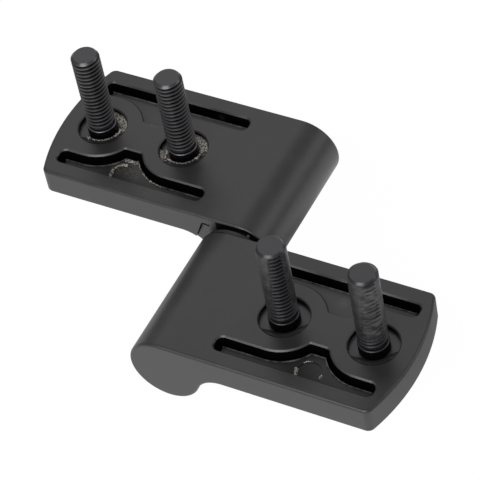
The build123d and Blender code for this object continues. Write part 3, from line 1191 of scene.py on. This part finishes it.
class HINGE_OT_pocket(bpy.types.Operator):
    """Add a dark line of painted shade along the step round the parting pocket"""

    bl_idname = "hinge.pocket"
    bl_label = "Pocket seam"

    def execute(self, context):
        tones = context.scene.hinge.coat
        seam = bead_along("pocket_seam", [Vector(place) * MM for place in POCKET_SHADE_LINE], tones.seam)
        smooth(seam)
        # Near-black and matt: painted shade
        material, _, shader = new_material("Seam", tones.shaded, roughness=0.8)
        shader.inputs["Specular IOR Level"].default_value = 0.05
        dress(seam, material, "frame_side")
        return {"FINISHED"}


class HINGE_OT_works(bpy.types.Operator):
    """Finish the shaft, washers, bush and friction clips"""

    bl_idname = "hinge.works"
    bl_label = "Shaft, bush and clips"

    def execute(self, context):
        tones = context.scene.hinge.coat
        ground = steel("Ground steel", tones.steel, rough=(0.2, 0.34))
        sprung = steel("Spring steel", tones.spring, rough=(0.3, 0.46))
        for name in ("hinge_shaft", "thrust_washer", "stack_washer"):
            dress(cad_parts[name], ground)
        for name in CLIPS:
            dress(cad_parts[name], sprung)
        dress(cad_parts["mouth_bush"], bush_plastic(tones))
        return {"FINISHED"}


# Stage


def mirrored_floor(tree, stage):
    """Brightness that the finishes mirror: bright in front and far behind, dim close to the hinge."""
    place = coordinate(tree)
    forward = calculate_vector(tree, "DOT_PRODUCT", place, FLOOR_FORWARD, give="Value")
    near = step_between(tree, forward, *FLOOR_SPAN, stage.floor_near - stage.floor_far)
    near = calculate(tree, "ADD", near, stage.floor_far)
    behind = step_between(tree, apart(tree, place)[1], *FLOOR_BEHIND_SPAN, stage.floor_behind)
    return calculate(tree, "MAXIMUM", near, behind)


def mix_shaders(tree, share, first, second):
    mix = tree.nodes.new("ShaderNodeMixShader")
    for socket, source in zip(mix.inputs, (share, first, second)):
        tree.links.new(source, socket)
    return mix.outputs[0]


def add_floor(stage):
    """White to the camera but for a share of shadow, graded where the finishes mirror it."""
    deselect_all()
    bpy.ops.mesh.primitive_plane_add(size=stage.floor_size, location=(0, 0, -stage.floor_drop))
    floor = settle(new_piece("floor"))
    material = bpy.data.materials.new("Pale floor")
    material.use_nodes = True
    tree = material.node_tree
    tree.nodes.clear()
    leave = tree.nodes.new("ShaderNodeOutputMaterial")
    matt = node(tree, "ShaderNodeBsdfDiffuse", Color=(*stage.floor_tone, 1))
    white = node(tree, "ShaderNodeEmission", Color=(1, 1, 1, 1), Strength=stage.floor_white)
    mirrored = node(tree, "ShaderNodeEmission", Color=(1, 1, 1, 1))
    tree.links.new(mirrored_floor(tree, stage), mirrored.inputs["Strength"])
    path = tree.nodes.new("ShaderNodeLightPath")
    share = calculate(tree, "MULTIPLY", path.outputs["Is Camera Ray"], stage.floor_glow)
    seen = mix_shaders(tree, share, matt.outputs[0], white.outputs[0])
    seen = mix_shaders(tree, path.outputs["Is Glossy Ray"], seen, mirrored.outputs[0])
    tree.links.new(seen, leave.inputs["Surface"])
    floor.data.materials.append(material)


def set_world(stage):
    """White to the camera, and a plain light that weakens towards the horizon on the object."""
    world = bpy.data.worlds.new("White surroundings")
    bpy.context.scene.world = world
    world.use_nodes = True
    tree = world.node_tree
    back = tree.nodes["Background"]
    back.inputs["Color"].default_value = (1, 1, 1, 1)
    height = apart(tree, coordinate(tree, "Generated"))[2]
    rise = step_between(tree, height, *HORIZON_SPAN, stage.world - stage.horizon)
    strength = node(tree, "ShaderNodeMapRange", To_Max=1.0)
    tree.links.new(calculate(tree, "ADD", rise, stage.horizon), strength.inputs["To Min"])
    path = tree.nodes.new("ShaderNodeLightPath")
    tree.links.new(path.outputs["Is Camera Ray"], strength.inputs["Value"])
    tree.links.new(strength.outputs["Result"], back.inputs["Strength"])


def add_lamp(name, place, aim, size, power):
    """Square lamp that faces the aim."""
    deselect_all()
    bpy.ops.object.light_add(type="AREA", location=place)
    lamp = new_piece(name)
    lamp.data.shape = "SQUARE"
    lamp.data.size = size
    lamp.data.energy = power
    lamp.rotation_euler = (aim - place).to_track_quat("-Z", "Y").to_euler()


def add_camera(stage):
    """Camera on the line of sight that was fitted to the photo."""
    azimuth, elevation = stage.azimuth, stage.elevation
    back = Vector((
        math.sin(azimuth) * math.cos(elevation),
        -math.cos(azimuth) * math.cos(elevation),
        math.sin(elevation),
    ))
    level = Vector((math.cos(azimuth), math.sin(azimuth), 0))
    upright = back.cross(level)
    right = level * math.cos(stage.roll) + upright * math.sin(stage.roll)
    up = back.cross(right)
    deselect_all()
    bpy.ops.object.camera_add()
    camera = bpy.context.object
    camera.name = "photo_camera"
    turned = Matrix((right, up, back)).transposed().to_4x4()
    camera.matrix_world = Matrix.Translation(Vector(stage.aim) + back * stage.distance) @ turned
    camera.data.sensor_width = 36
    camera.data.lens = stage.lens
    camera.data.clip_start = 0.01
    camera.data.clip_end = 20
    bpy.context.scene.camera = camera


class HINGE_OT_stage(bpy.types.Operator):
    """Add the floor, the surroundings, the lamps and the camera"""

    bl_idname = "hinge.stage"
    bl_label = "Stage"

    def execute(self, context):
        stage = context.scene.hinge.stage
        add_floor(stage)
        set_world(stage)
        aim = Vector(stage.aim)
        for name, (offset, size, power) in LAMPS.items():
            add_lamp(name, aim + offset, aim, size, getattr(stage, power))
        add_camera(stage)
        context.scene.view_settings.view_transform = "Standard"
        return {"FINISHED"}


PIECE_OPERATORS = (
    HINGE_OT_leaves,
    HINGE_OT_frame_studs,
    HINGE_OT_door_studs,
    HINGE_OT_films,
    HINGE_OT_flash,
    HINGE_OT_beads,
    HINGE_OT_slopes,
    HINGE_OT_pocket,
    HINGE_OT_works,
    HINGE_OT_stage,
)


class HINGE_PT_dressing(bpy.types.Panel):
    """Lists the steps that dress the hinge"""

    bl_label = "Friction Hinge"
    bl_idname = "HINGE_PT_dressing"
    bl_space_type = "VIEW_3D"
    bl_region_type = "UI"
    bl_category = "Hinge"

    def draw(self, context):
        column = self.layout.column()
        for step in PIECE_OPERATORS:
            column.operator(step.bl_idname)
        hinge = context.scene.hinge
        for group in (hinge.thread, hinge.film, hinge.flash, hinge.coat, hinge.stage):
            box = column.box()
            for key in group.__annotations__:
                box.prop(group, key)


CLASSES = (
    ThreadSettings,
    FilmSettings,
    FlashSettings,
    CoatSettings,
    StageSettings,
    HingeSettings,
    *PIECE_OPERATORS,
    HINGE_PT_dressing,
)


def register():
    for part in CLASSES:
        bpy.utils.register_class(part)
    bpy.types.Scene.hinge = PointerProperty(type=HingeSettings)


def unregister():
    del bpy.types.Scene.hinge
    for part in reversed(CLASSES):
        bpy.utils.unregister_class(part)


def main():
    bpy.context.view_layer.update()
    register()
    for step in PIECE_OPERATORS:
        family, name = step.bl_idname.split(".")
        getattr(getattr(bpy.ops, family), name)()
    deselect_all()


if __name__ == "__main__":
    main()
